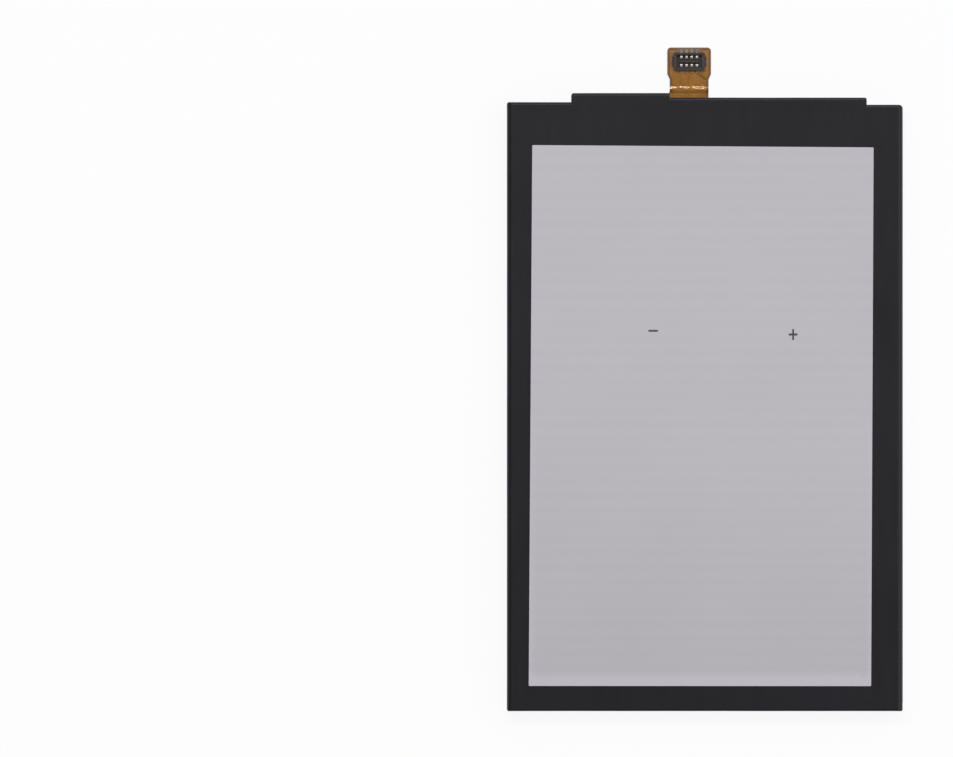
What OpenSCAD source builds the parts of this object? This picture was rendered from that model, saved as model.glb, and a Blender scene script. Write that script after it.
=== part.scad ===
// Built-in battery of a mobile phone: a flat lithium polymer pouch cell in a black film
// wrap, with a protection board across its top end and a flexible tail that carries a
// small board connector.
// Frame: X across, Y along towards the tail, Z up out of the printed front face.
// The origin is on the back face, midway along the pack, where the battery rests.

/* [Pack] */
// Width across the wrapped pack
body_w = 61; // [56:0.5:72]
// Length from the foot to the left shoulder
body_l = 93.8; // [80:0.2:112]
// Thickness over both labels
body_t = 4.7; // [4:0.1:5.6]
// Rounding of the four long edges
flank_r = 0.9; // [0.7:0.05:1.1]
// Rounding of the edges across the foot, the shoulders and the shelf
end_r = 0.4; // [0.3:0.05:0.5]
// Corner rounding in the front view
corner_r = 0.35; // [0.25:0.05:0.5]
// Corner rounding of the right shoulder, which is softer than the others
soft_corner_r = 0.7; // [0.5:0.05:0.9]
// How much lower the right shoulder is than the left one
shoulder_drop = 0.4; // [0.2:0.05:0.6]

/* [Shelf over the protection board] */
// From the left side of the pack to the left end of the shelf
shelf_left = 9.95; // [8:0.05:12.3]
// From the right side of the pack to the right end of the shelf
shelf_right = 5.6; // [4.5:0.1:7]
// Rise of the shelf above the left shoulder
shelf_rise = 1.4; // [1.1:0.05:1.7]
// How much lower the shelf is on the far side of the tail
shelf_step = 0.7; // [0.5:0.05:0.9]

/* [Films] */
// Black outer wrap
wrap_t = 0.1; // [0.08:0.01:0.12]
// Printed label
label_t = 0.1; // [0.08:0.01:0.12]
// Aluminium laminate of the pouch
film_t = 0.11; // [0.09:0.005:0.14]
// Polyimide tape
tape_t = 0.05; // [0.04:0.01:0.06]

/* [Labels] */
// Front label from the left side of the pack
front_label_left = 3.6; // [2.5:0.1:4.5]
// Front label from the right side of the pack
front_label_right = 4.7; // [3.8:0.05:5.7]
// Front label from the foot of the pack
front_label_foot = 3.9; // [3:0.1:4.8]
// Front label from the left shoulder of the pack
front_label_top = 6.8; // [5.5:0.1:8]
// How far the front label is turned, as it was stuck on by hand
front_label_turn = -0.26; // [-0.4:0.02:0]
// Back label from the left side of the pack
back_label_left = 3.7; // [2.7:0.1:4.7]
// Back label from the right side of the pack
back_label_right = 4.6; // [3.6:0.1:5.6]
// Back label from the foot of the pack
back_label_foot = 3.5; // [2.7:0.1:4.3]
// Back label from the left shoulder of the pack
back_label_top = 5.95; // [4.9:0.05:7.1]
// Corner rounding of both labels
label_r = 0.15; // [0.1:0.05:0.3]

/* [Cell] */
// Sealed lip of the pouch beyond its cup
terrace_l = 4.6; // [3.7:0.1:5.5]
// Drawn edge of the cup
cup_r = 1; // [0.8:0.05:1.2]
// Seam folded back on itself along each flank
seam_return = 1.4; // [1.1:0.1:1.7]
// Room between the electrode roll and the end of the cup
roll_room = 1.6; // [1.3:0.1:1.9]

/* [Tabs] */
// Distance between the two tabs
tab_pitch = 21.6; // [17.8:0.1:25.8]
// Middle of the tab pair from the middle of the pack
tab_middle = 2.8; // [2.2:0.1:3.4]
// Width of a tab
tab_w = 6; // [4.9:0.1:7.2]
// Thickness of a tab
tab_t = 0.1; // [0.08:0.01:0.12]
// Bend radius of a tab at its middle line
tab_bend_r = 0.35; // [0.28:0.01:0.42]
// Length of tab held in the roll
tab_grip = 6; // [5:0.1:7.2]
// Sealing film on each side of a tab
seal_t = 0.08; // [0.06:0.01:0.1]
// Sealing film beyond each edge of the tab
seal_margin = 0.7; // [0.5:0.05:0.9]

/* [Protection board] */
// Depth of the board from its inner edge to the low side of the shelf
board_w = 4.85; // [4.3:0.05:5.4]
// Thickness of the board
board_t = 0.7; // [0.55:0.05:0.85]
// Nickel weld plate beyond each edge of its tab
plate_margin = 0.4; // [0.3:0.05:0.6]
// Width of a nickel weld plate
plate_w = 3; // [2.5:0.1:3.6]
// Thickness of a nickel weld plate
plate_t = 0.15; // [0.12:0.01:0.18]
// Height of the protection chip
ic_h = 1.1; // [0.9:0.05:1.3]
// Space between parts on the board
part_gap = 0.4; // [0.3:0.05:0.5]

/* [Flexible tail] */
// Middle of the neck from the middle of the pack
tail_x = -2.35; // [-3:0.05:-1.9]
// Width of the neck
neck_w = 6; // [5:0.1:6.3]
// Thickness of the flexible circuit
flex_t = 0.15; // [0.12:0.01:0.18]
// Depth of the arm on the back of the pack, from the top of the shelf
arm_d = 3.85; // [3.2:0.05:4.5]
// From the left end of the shelf to the end of the arm
arm_inset = 0.25; // [0.15:0.05:0.5]
// Steepness of the neck where it rises, in degrees
rise_a = 24; // [20:1:28]
// Bend radius of the neck where it rises, at its middle line
rise_r = 0.5; // [0.4:0.05:0.6]
// Bend radius of the neck where it falls, at its middle line
fall_r = 0.5; // [0.4:0.05:0.6]
// Rise of the neck's crest above the arm
crest_rise = 0.3; // [0.26:0.01:0.34]
// Drop from the crest to the head
crest_drop = 0.06; // [0.04:0.01:0.08]
// Length of the neck with its shoulders, from the top of the shelf to the head
neck_l = 3; // [2.6:0.1:3.4]
// Width of the head
head_w = 6.75; // [6.5:0.05:8]
// Length of the head
head_l = 4.1; // [3.8:0.1:5]
// Length of the shoulders between neck and head
head_taper = 0.85; // [0.7:0.05:1]
// Steel stiffener under the head
stiffener_t = 0.2; // [0.16:0.01:0.24]

/* [Board connector] */
// Length of the connector housing
plug_l = 4.8; // [4.5:0.1:5.7]
// Width of the connector housing
plug_w = 2.7; // [2.6:0.05:3.2]
// Height of the connector housing
plug_h = 0.8; // [0.7:0.05:0.95]
// Middle of the connector from the end of the head
plug_setback = 2.15; // [2:0.05:2.5]
// Distance between neighbouring contacts
contact_pitch = 0.8; // [0.67:0.01:0.85]
// Width of a contact
contact_w = 0.36; // [0.3:0.01:0.42]
// Thickness of a contact
contact_t = 0.08; // [0.07:0.01:0.095]

/* [Hidden] */
$fn = 48;
CONTACTS_PER_ROW = 4;
CONTACTS = 2 * CONTACTS_PER_ROW;
CAPACITORS = 4;
RESISTORS = 4;

// Clearances
fit = 0.05;      // between a piece and the one it seats in
fold_gap = 0.03; // between the two leaves of a folded seam
past = 1;        // by which a cutter passes the face that it cuts
bend_step = 10;  // most degrees of a bend to each flat of its two sides

// Levels through the thickness
wrap_z0 = label_t;
wrap_z1 = body_t - label_t;
in_z0 = wrap_z0 + wrap_t;
in_z1 = wrap_z1 - wrap_t;
lip_z = in_z1 - 2 * film_t;                     // underside of the terrace
tab_z = in_z1 - film_t - seal_t - tab_t / 2;    // middle of a tab in the seal
board_z1 = in_z0 + board_t;
seal_stack = 2 * seal_t + tab_t;
bump_z = lip_z - seal_stack;                     // underside of the lip below a tab
weld_z = board_z1 + plate_t + tab_t / 2;        // middle of a tab on its weld plate
foam_z0 = board_z1 + ic_h;

// Places across the pack
half_w = body_w / 2;
in_x = half_w - wrap_t;
seam_x = in_x - tape_t;                          // outer face of the folded seam
cup_x = seam_x - 4 * film_t - fold_gap - fit;
nest_r = flank_r - wrap_t;                       // rounding inside the wrap's long edges
cup_lid_r = nest_r - (in_x - cup_x) + 0.07;
roll_x = cup_x - film_t - 0.07;
terrace_x = in_x - nest_r - 0.4;
shelf_x0 = -half_w + shelf_left;
shelf_x1 = half_w - shelf_right;
neck_x0 = tail_x - neck_w / 2;
neck_x1 = tail_x + neck_w / 2;
seal_half_w = tab_w / 2 + seal_margin;
tab_xs = [tab_middle - tab_pitch / 2, tab_middle + tab_pitch / 2];
roll_z0 = in_z0 + film_t + tape_t;
roll_z1 = in_z1 - film_t - tape_t;
roll_mid_z = (roll_z0 + roll_z1) / 2;

// Places along the pack
foot_y = -body_l / 2;
left_y = body_l / 2;
right_y = left_y - shoulder_drop;
shelf_y = left_y + shelf_rise;
low_shelf_y = shelf_y - shelf_step;
in_foot_y = foot_y + wrap_t;
terrace_y = right_y - end_r - fit;
cup_y = terrace_y - terrace_l;
roll_y0 = in_foot_y + cup_r + fit;
roll_y1 = cup_y - film_t - roll_room;
tab_out_y = low_shelf_y - wrap_t - 0.2 - tab_t / 2;   // middle of a tab where it turns down
board_y1 = low_shelf_y - end_r - fit;
board_y0 = board_y1 - board_w;
board_x0 = shelf_x0 + wrap_t + fit;
board_x1 = shelf_x1 - wrap_t - fit;
plate_l = tab_w + 2 * plate_margin;
plate_y = (board_y0 + board_y1) / 2;
arm_x0 = shelf_x0 + arm_inset;
arm_y = shelf_y - arm_d;

// Flexible tail
root_z = in_z0 - flex_t / 2;
slope_l = (crest_rise - 2 * rise_r * (1 - cos(rise_a))) / sin(rise_a);   // between the bends
crest_y = shelf_y + 2 * rise_r * sin(rise_a) + slope_l * cos(rise_a);
fall_a = acos(1 - crest_drop / (2 * fall_r));
head_z = root_z + crest_rise - crest_drop;
neck_end_y = crest_y + 2 * fall_r * sin(fall_a);
head_y0 = shelf_y + neck_l;
taper_y = head_y0 - head_taper;
head_y1 = head_y0 + head_l;
head_top_z = head_z + flex_t / 2;

// Board connector
plug_y = head_y1 - plug_setback;
wall_t = 0.4;          // long walls of the housing
end_wall_t = 0.45;     // short walls of the housing
floor_t = 0.12;        // floor of the trough
island_w = 0.36;       // middle island of the trough
island_l = (CONTACTS_PER_ROW - 1) * contact_pitch + contact_w + 0.2;
plug_corner_r = 0.2;
lead_in = 0.1;         // step round the mouth of the trough
contact_r = 0.13;      // bends of a contact at its middle line
contact_gap = 0.03;    // between a contact and the housing
contact_tail = 0.45;   // solder tail beyond the long wall
contact_h = plug_h - 0.12;
leg_y = plug_w / 2 - wall_t - contact_gap - contact_t / 2;
spring_y = island_w / 2 + 0.2 + contact_t / 2;
hold_down_w = 1.5;
hold_down_t = 0.1;
hold_down_foot = 0.27; // foot of a hold-down beyond the short wall

// Small radii and reaches
arm_corner_r = 0.6;
inner_corner_r = 0.45;
head_corner_r = 0.55;
board_corner_r = 0.3;
notch_r = 0.4;
tape_corner_r = 0.3;
foam_inset = 1.2;
winding_tape_reach = 12;
foot_tape_reach = 8;
foot_tape_w = 16;

// Parts on the board, which keep to the spaces beside the weld plates
ic_l = 2.9;
ic_w = 1.6;
ic_lead_pitch = 0.95;
ic_lead_w = 0.4;
ic_lead_t = 0.12;
transistor_l = 3;
transistor_w = 3;
transistor_h = 0.8;
fuse_l = 2;
small_l = 1;
small_w = 0.5;
ic_x = tab_xs[0] + plate_l / 2 + part_gap + ic_l / 2;
transistor_xs = [
    for (k = [0, 1]) ic_x + (ic_l + transistor_l) / 2 + part_gap + k * (transistor_l + part_gap)
];
fuse_x = tab_xs[0] - plate_l / 2 - part_gap - fuse_l / 2;
capacitor_x = fuse_x - fuse_l / 2 - 2 * part_gap - 2 * small_l;
resistor_x = tab_xs[1] + plate_l / 2 + part_gap;
thermistor_x = resistor_x + 2 * small_l + 2 * part_gap + small_l / 2;

// Runs a profile drawn in (y, z) along X
module along_x(x0, x1) {
    translate([x0, 0, 0]) rotate([90, 0, 90]) linear_extrude(x1 - x0) children();
}

// Runs a profile drawn in (x, z) along Y
module along_y(y0, y1) {
    translate([0, y1, 0]) rotate([90, 0, 0]) linear_extrude(y1 - y0) children();
}

// Stands a plan drawn in (x, y) between two heights
module along_z(z0, z1) {
    translate([0, 0, z0]) linear_extrude(z1 - z0) children();
}

// Rectangle with its own radius at each corner, anticlockwise from the lower left
module round_rect(lo, hi, radii) {
    corners = [lo, [hi.x, lo.y], hi, [lo.x, hi.y]];
    difference() {
        translate(lo) square(hi - lo);
        for (k = [0:3]) {
            if (radii[k] > 0) translate(corners[k]) rotate(90 * k) corner_cutter(radii[k]);
        }
    }
}

// The same radius for all four corners of a rectangle
function all_four(r) = [r, r, r, r];

// What a rounding of radius r takes off a square corner
module corner_cutter(r) {
    difference() {
        translate([-past, -past]) square(r + past);
        translate([r, r]) circle(r);
    }
}

// Profile of a strip t thick that is bent as it goes. Each step is a straight length,
// then a turn in degrees, anticlockwise positive, at a radius to the middle of the strip
module bent_strip(steps, t) {
    left = strip_side(steps, t / 2);
    right = strip_side(steps, -t / 2);
    polygon(concat([[0, t / 2]], left, [for (k = [len(right) - 1:-1:0]) right[k]], [[0, -t / 2]]));
}

// Points along one side of a bent strip, s to the left of its middle line, which has come
// to the point at with the heading a
function strip_side(steps, s, at = [0, 0], a = 0, n = 0) =
    n == len(steps) ? [] :
    let (
        turn = steps[n][1],
        r = steps[n][2] * sign(turn),
        pieces = max(1, ceil(abs(turn) / bend_step)),
        from = at + steps[n][0] * [cos(a), sin(a)],
        centre = from + r * [-sin(a), cos(a)],
        end = centre + r * [sin(a + turn), -cos(a + turn)]
    )
    concat(
        turn == 0 ? [from + s * [-sin(a), cos(a)]] :
            [for (k = [0:pieces]) let (b = a + turn * k / pieces) centre + (r - s) * [sin(b), -cos(b)]],
        strip_side(steps, s, end, a + turn, n + 1)
    );

// Solid shape of the wrapped pack, i inside its outer faces
module pack_shape(i) {
    pack_block(-half_w, half_w, foot_y, right_y, i, [corner_r, corner_r, soft_corner_r, 0]);
    pack_block(-half_w, shelf_x0 + past, foot_y, left_y, i, [corner_r, 0, 0, corner_r]);
    shelf_block(shelf_x0, shelf_x1, low_shelf_y, i);
    shelf_block(shelf_x0, neck_x0 - 2 * fit, shelf_y, i);
}

// Full length of the pack between two places across it, rounded along its flanks,
// its ends and, in the front view, its corners
module pack_block(x0, x1, y0, y1, i, radii) {
    plan_r = [for (r = radii) max(r - i, 0)];
    plan_x0 = x0 == -half_w ? x0 + i : x0;
    plan_x1 = x1 == half_w ? x1 - i : x1;
    intersection() {
        along_x(x0, x1) round_rect([y0 + i, wrap_z0 + i], [y1 - i, wrap_z1 - i], all_four(end_r - i));
        along_y(y0 - past, y1 + past)
            round_rect([-half_w + i, wrap_z0 + i], [half_w - i, wrap_z1 - i], all_four(flank_r - i));
        along_z(0, body_t) round_rect([plan_x0, y0 + i], [plan_x1, y1 - i], plan_r);
    }
}

// Part of the shelf, which stands out past the shoulders over the protection board
module shelf_block(x0, x1, y1, i) {
    top_r = end_r - i;
    side_r = corner_r - i;
    intersection() {
        along_x(x0, x1) round_rect([cup_y, wrap_z0 + i], [y1 - i, wrap_z1 - i], [0, top_r, top_r, 0]);
        along_z(0, body_t) round_rect([x0 + i, cup_y], [x1 - i, y1 - i], [0, 0, side_r, side_r]);
    }
}

// Black film wrapped round the cell and the board, with a window in its back for the
// arm of the flexible tail
module outer_wrap() {
    color("#2c2b30") difference() {
        pack_shape(0);
        pack_shape(wrap_t);
        along_z(-past, in_z0) flex_window();
    }
}

// Opening in the back of the wrap, which runs out at the top of the shelf
module flex_window() {
    round_rect([arm_x0 - fit, arm_y - fit], [neck_x1 + fit, shelf_y + past], [0, arm_corner_r + fit, 0, 0]);
}

// Plan of a printed label between margins from the sides, the foot and the left shoulder
module label_plan(left, right, foot, top) {
    round_rect([-half_w + left, foot_y + foot], [half_w - right, left_y - top], all_four(label_r));
}

// Silver printed label on the front face
module front_label() {
    middle = [(front_label_left - front_label_right) / 2, (front_label_foot - front_label_top) / 2];
    color("#bab7be") translate(middle) rotate(front_label_turn) translate(-middle)
        along_z(wrap_z1, body_t)
            label_plan(front_label_left, front_label_right, front_label_foot, front_label_top);
}

// Silver label on the back face, which the battery rests on
module back_label() {
    color("#b9b6bd") along_z(0, wrap_z0)
        label_plan(back_label_left, back_label_right, back_label_foot, back_label_top);
}

// Shape of the pouch's cup and lid together, i inside its outer faces
module cup_shape(i) {
    drawn_r = cup_r - i;
    lid_r = cup_lid_r - i;
    foot_lid_r = end_r - wrap_t - i;
    in_lo = in_foot_y + i;
    in_hi = cup_y - i;
    intersection() {
        along_y(in_lo, in_hi)
            round_rect([-cup_x + i, in_z0 + i], [cup_x - i, in_z1 - i], [drawn_r, drawn_r, lid_r, lid_r]);
        along_x(-half_w, half_w)
            round_rect([in_lo, in_z0 + i], [in_hi, in_z1 - i], [drawn_r, drawn_r, 0, foot_lid_r]);
    }
}

// Seam along one flank: two leaves of film, turned down the flank and folded back inside
module flank_seam() {
    t = 2 * film_t;
    turn_z = in_z0 + nest_r + fit;
    down = in_z1 - nest_r - turn_z;
    along_y(in_foot_y + end_r, cup_y - end_r)
        translate([seam_x - nest_r, in_z1 - film_t])
            bent_strip([
                [0, -90, nest_r - film_t],
                [down, -180, film_t + fold_gap / 2],
                [seam_return, 0, 0]
            ], t);
}

// Sealed lip at the top end, raised underneath where each tab passes through
module terrace() {
    along_z(lip_z, in_z1)
        round_rect([-terrace_x, cup_y - end_r], [terrace_x, terrace_y], [0, 0, corner_r, corner_r]);
    for (x = tab_xs) {
        along_x(x - seal_half_w - film_t, x + seal_half_w + film_t)
            translate([cup_y - film_t, bump_z]) square([terrace_l + film_t, in_z1 - bump_z]);
    }
}

// Aluminium laminate pouch: a drawn cup with a flat lid, sealed along a terrace at the
// top end and along both flanks, where the seams are folded
module pouch() {
    color("#c9cacd") difference() {
        union() {
            cup_shape(0);
            terrace();
            flank_seam();
            mirror([1, 0, 0]) flank_seam();
        }
        cup_shape(film_t);
        for (x = tab_xs) tab_seal_shape(x, cup_y - end_r, terrace_y + past);
    }
}

// Block of sealing film round a tab, between two places along the pack
module tab_seal_shape(x, y0, y1) {
    along_x(x - seal_half_w, x + seal_half_w)
        translate([y0, tab_z - seal_stack / 2]) square([y1 - y0, seal_stack]);
}

// Sealing film that is melted round a tab where it leaves the pouch
module tab_seal(x) {
    color("#e4e0d2") difference() {
        tab_seal_shape(x, cup_y - film_t, terrace_y + 0.4);
        tab(x);
    }
}

// Wound electrodes and separator, with a slot at the top end for each tab
module electrode_roll() {
    color("#3d3f42") difference() {
        along_y(roll_y0, roll_y1) roll_section(0);
        for (x = tab_xs) {
            along_x(x - tab_w / 2, x + tab_w / 2)
                translate([roll_y1 - tab_grip, roll_mid_z - tab_t / 2]) square([tab_grip + past, tab_t]);
        }
    }
}

// Section of the flat roll in (x, z), grown by i
module roll_section(i) {
    r = (roll_z1 - roll_z0) / 2;
    flat_x = roll_x - r;
    for (x = [-flat_x, flat_x]) translate([x, roll_mid_z]) circle(r + i);
    translate([-flat_x, roll_z0 - i]) square([2 * flat_x, 2 * (r + i)]);
}

// Tape that holds down the outer end of the winding, round one edge of the roll
module winding_tape() {
    color("#c9a13a") along_y(roll_y0 + 3, roll_y1 - 3) difference() {
        intersection() {
            roll_section(tape_t);
            translate([roll_x - winding_tape_reach, 0]) square([half_w, body_t]);
        }
        roll_section(0);
    }
}

// Tape folded over the foot of the roll, which keeps the separator closed
module foot_tape() {
    color("#c9a13a") along_x(-foot_tape_w / 2, foot_tape_w / 2) difference() {
        translate([roll_y0 - tape_t, roll_z0 - tape_t])
            square([foot_tape_reach + tape_t, roll_z1 - roll_z0 + 2 * tape_t]);
        translate([roll_y0, roll_z0]) square([foot_tape_reach + past, roll_z1 - roll_z0]);
    }
}

// Metal tab: out of the roll, up to the terrace, out through its seal, down past the end
// of the board and back along the weld plate
module tab(x) {
    r = tab_bend_r;
    rise_y = roll_y1 + 2 * r;
    along_x(x - tab_w / 2, x + tab_w / 2) translate([roll_y1 - tab_grip, roll_mid_z])
        bent_strip([
            [tab_grip + rise_y - r - roll_y1, 90, r],
            [tab_z - roll_mid_z - 2 * r, -90, r],
            [tab_out_y - rise_y - 2 * r, -90, r],
            [tab_z - weld_z - 2 * r, -90, r],
            [tab_out_y - r - (plate_y - plate_w / 2 + plate_margin), 0, 0]
        ], tab_t);
}

// Negative tab, in nickel
module negative_tab() {
    color("#b9b6ae") tab(tab_xs[0]);
}

// Positive tab, in aluminium
module positive_tab() {
    color("#d3d5d8") tab(tab_xs[1]);
}

// Tape along a flank, over the folded seam and round under the cup
module seam_tape() {
    r = nest_r - tape_t / 2;
    under = in_x - nest_r - (cup_x - cup_r) - 8 * fit;
    color("#c9a13a") along_y(in_foot_y + end_r, cup_y - end_r)
        translate([in_x - tape_t / 2, in_z1 - nest_r]) rotate(-90)
            bent_strip([[in_z1 - in_z0 - 2 * nest_r, -90, r], [under, 0, 0]], tape_t);
}

// Foam pad between the terrace and the protection board, which rests on the tallest chip
module terrace_foam() {
    color("#2a2a2c") difference() {
        along_z(foam_z0, lip_z)
            translate([board_x0 + foam_inset, cup_y + fit])
                square([board_x1 - board_x0 - 2 * foam_inset, terrace_l - fit]);
        for (x = tab_xs) {
            along_z(bump_z - fit, lip_z + past)
                translate([x - seal_half_w - film_t - fit, cup_y])
                    square([2 * (seal_half_w + film_t + fit), terrace_l + past]);
        }
    }
}

// Protection board, one step deeper beside the tail, with a locating notch at each end
module protection_board() {
    high_y1 = board_y1 + shelf_step;
    r = board_corner_r;
    color("#1f5a3c") along_z(in_z0, board_z1) difference() {
        union() {
            round_rect([board_x0, board_y0], [board_x1, board_y1], [r, r, r, 0]);
            round_rect([board_x0, board_y0], [neck_x0 - 2 * fit - wrap_t - fit, high_y1], [r, 0, r, r]);
        }
        for (x = [board_x0, board_x1]) translate([x, (board_y0 + board_y1) / 2]) circle(notch_r);
    }
}

// Nickel plate soldered to the board, which a tab is welded on
module weld_plate(x) {
    color("#c4c2bb") along_z(board_z1, board_z1 + plate_t)
        round_rect([x - plate_l / 2, plate_y - plate_w / 2], [x + plate_l / 2, plate_y + plate_w / 2],
            all_four(notch_r));
}

// Insulating tape over the welded end of a tab
module weld_tape(x) {
    z = weld_z + tab_t / 2;
    color("#c9a13a") along_z(z, z + tape_t)
        round_rect([x - plate_l / 2, plate_y - plate_w / 2], [x + plate_l / 2, plate_y + plate_w / 2 - fit],
            all_four(tape_corner_r));
}

// Protection chip in a moulded body, with three bent leads along each long side
module protection_chip() {
    stand_off = 0.1;
    lead_z = ic_h / 2;
    foot_run = 0.25;
    lead_r = 0.12;
    color("#2b2c2e") translate([ic_x, plate_y, board_z1]) {
        along_z(stand_off, ic_h) translate([-ic_l / 2, -ic_w / 2]) square([ic_l, ic_w]);
        for (x = [-1:1], s = [0, 1]) {
            mirror([0, s, 0]) translate([x * ic_lead_pitch, 0, 0])
                along_x(-ic_lead_w / 2, ic_lead_w / 2)
                    translate([ic_w / 2 - fit, lead_z])
                        bent_strip([
                            [2 * fit, -90, lead_r],
                            [lead_z - 2 * lead_r - ic_lead_t / 2, 90, lead_r],
                            [foot_run, 0, 0]
                        ], ic_lead_t);
        }
    }
}

// Switching transistor in a flat leadless package, with a dimple that marks pin one
module transistor(x) {
    pad_t = 0.05;
    color("#2f3032") translate([x, plate_y, board_z1]) {
        difference() {
            along_z(pad_t, transistor_h)
                translate([-transistor_l / 2, -transistor_w / 2]) square([transistor_l, transistor_w]);
            translate([-transistor_l / 2 + 0.5, transistor_w / 2 - 0.5, transistor_h - pad_t])
                cylinder(h = past, r = 0.2);
        }
        for (y = [-1, 1]) {
            along_z(0, pad_t) translate([-0.4 * transistor_l, y * 0.3 * transistor_w - 0.3])
                square([0.8 * transistor_l, 0.6]);
        }
    }
}

// Two-ended chip part: a ceramic body between metal ends that stand a little proud
module chip_part(place, size, cap) {
    proud = 0.03;
    translate([place.x, place.y, board_z1]) {
        translate([-size.x / 2 + cap / 2, -size.y / 2 + proud, proud])
            cube([size.x - cap, size.y - 2 * proud, size.z - 2 * proud]);
        for (x = [-size.x / 2, size.x / 2 - cap]) {
            translate([x, -size.y / 2, 0]) cube([cap, size.y, size.z]);
        }
    }
}

// Chip fuse in the line to the positive contacts
module fuse() {
    color("#e8e4d8") chip_part([fuse_x, plate_y], [fuse_l, 1.25, 0.6], 0.35);
}

// Thermistor at the board's right end, which senses the cell's warmth
module thermistor() {
    color("#7d6a52") chip_part([thermistor_x, plate_y], [small_l, small_w, 0.5], 0.25);
}

// Flat circuit board of copper on amber film: an arm on the back of the pack, a neck that
// rises past the shelf and a head that carries the connector
module flex_tail() {
    color("#9a6a30") intersection() {
        along_z(0, body_t) flex_plan();
        along_x(shelf_x0, tail_x + head_w) translate([arm_y - past, root_z])
            bent_strip([
                [shelf_y - arm_y + past, rise_a, rise_r],
                [slope_l, -rise_a, rise_r],
                [0, -fall_a, fall_r],
                [0, fall_a, fall_r],
                [head_y1 - neck_end_y + past, 0, 0]
            ], flex_t);
    }
}

// Plan of the flexible circuit
module flex_plan() {
    round_rect([arm_x0, arm_y], [neck_x1, shelf_y], [0, arm_corner_r, 0, 0]);
    translate([neck_x0, shelf_y - fit]) square([neck_w, taper_y - shelf_y + 2 * fit]);
    translate([neck_x0, shelf_y]) rotate(90) intersection() {
        corner_cutter(inner_corner_r);
        square(inner_corner_r);
    }
    head_plan(taper_y);
}

// Plan of the head, with its sloping shoulders down to a given place
module head_plan(y0) {
    head_x0 = tail_x - head_w / 2;
    head_x1 = tail_x + head_w / 2;
    round_rect([head_x0, head_y0], [head_x1, head_y1], [0, 0, head_corner_r, head_corner_r]);
    if (y0 < head_y0) polygon([[neck_x0, y0], [neck_x1, y0], [head_x1, head_y0], [head_x0, head_y0]]);
}

// Steel plate bonded under the head, which backs the connector
module head_stiffener() {
    color("#706b67") along_z(head_z - flex_t / 2 - stiffener_t, head_z - flex_t / 2) head_plan(head_y0);
}

// Turns a shape drawn at one long side of the connector to the other side
module at_row(row) {
    translate([tail_x, plug_y, head_top_z]) rotate(180 * row) children();
}

// Place of a contact along its row
function contact_x(k) = ((k % CONTACTS_PER_ROW) - (CONTACTS_PER_ROW - 1) / 2) * contact_pitch;

// Black moulded housing: a trough with an island down its middle, a channel under the
// long walls for each contact and a seat in each short wall for a hold-down
module connector_housing() {
    trough = [plug_l / 2 - end_wall_t, plug_w / 2 - wall_t];
    slot_w = contact_w + 2 * contact_gap;
    color("#1b1a1e") difference() {
        translate([tail_x, plug_y, head_top_z]) difference() {
            along_z(0, plug_h) rounded_block(plug_l / 2, plug_w / 2, plug_corner_r);
            along_z(floor_t, plug_h + past) difference() {
                translate(-trough) square(2 * trough);
                translate([-island_l / 2, -island_w / 2]) square([island_l, island_w]);
            }
            along_z(plug_h - lead_in, plug_h + past)
                rounded_block(trough.x + lead_in, trough.y + lead_in, lead_in);
            along_z(plug_h - 2 * lead_in, plug_h + past)
                translate([-island_l / 2 - fit, -island_w / 2 - fit])
                    square([island_l + 2 * fit, island_w + 2 * fit]);
        }
        for (k = [0:CONTACTS - 1]) {
            at_row(floor(k / CONTACTS_PER_ROW)) translate([contact_x(k) - slot_w / 2, 0, 0]) {
                translate([0, leg_y - contact_t, -past])
                    cube([slot_w, plug_w, past + contact_t + contact_gap]);
                translate([0, spring_y - contact_t, -past])
                    cube([slot_w, trough.y - spring_y + contact_t, past + floor_t + contact_gap]);
            }
        }
        left_hold_down();
        right_hold_down();
    }
}

// Rectangle about the origin with equal rounded corners
module rounded_block(half_x, half_y, r) {
    round_rect([-half_x, -half_y], [half_x, half_y], all_four(r));
}

// Gilded spring contact: a solder tail outside the long wall, a leg up inside it and a
// bow over to a free end beside the island
module contact(k) {
    run = plug_w / 2 + contact_tail - leg_y - contact_r;
    up = contact_h - contact_t - 2 * contact_r;
    bow = leg_y - spring_y - 2 * contact_r;
    color("#d0a548") at_row(floor(k / CONTACTS_PER_ROW)) translate([contact_x(k), 0, 0])
        along_x(-contact_w / 2, contact_w / 2)
            translate([plug_w / 2 + contact_tail, contact_t / 2]) mirror([1, 0])
                bent_strip([
                    [run, 90, contact_r],
                    [up, -90, contact_r],
                    [bow, -90, contact_r],
                    [up * 0.7, 0, 0]
                ], contact_t);
}

// Steel strip let into a short wall, soldered to the head outside it
module hold_down() {
    r = 0.12;
    translate([tail_x, plug_y, head_top_z]) along_y(-hold_down_w / 2, hold_down_w / 2)
        translate([plug_l / 2 + hold_down_foot, hold_down_t / 2]) mirror([1, 0])
            bent_strip([
                [hold_down_foot + hold_down_t / 2 - r, 90, r],
                [plug_h - hold_down_t - 2 * r, -90, r],
                [end_wall_t - hold_down_t / 2 - r - fit, 0, 0]
            ], hold_down_t);
}

// Hold-down at the connector's right end
module right_hold_down() {
    color("#8d8a92") hold_down();
}

// Hold-down at the connector's left end
module left_hold_down() {
    color("#8d8a92") translate([2 * tail_x, 0, 0]) mirror([1, 0, 0]) hold_down();
}

// Place of a small chip part in a block of two by two
function grid_place(x0, k) = [
    x0 + (floor((k - 1) / 2) + 0.5) * small_l + floor((k - 1) / 2) * part_gap,
    plate_y + ((k % 2) - 0.5) * (small_w + part_gap)
];

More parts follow.
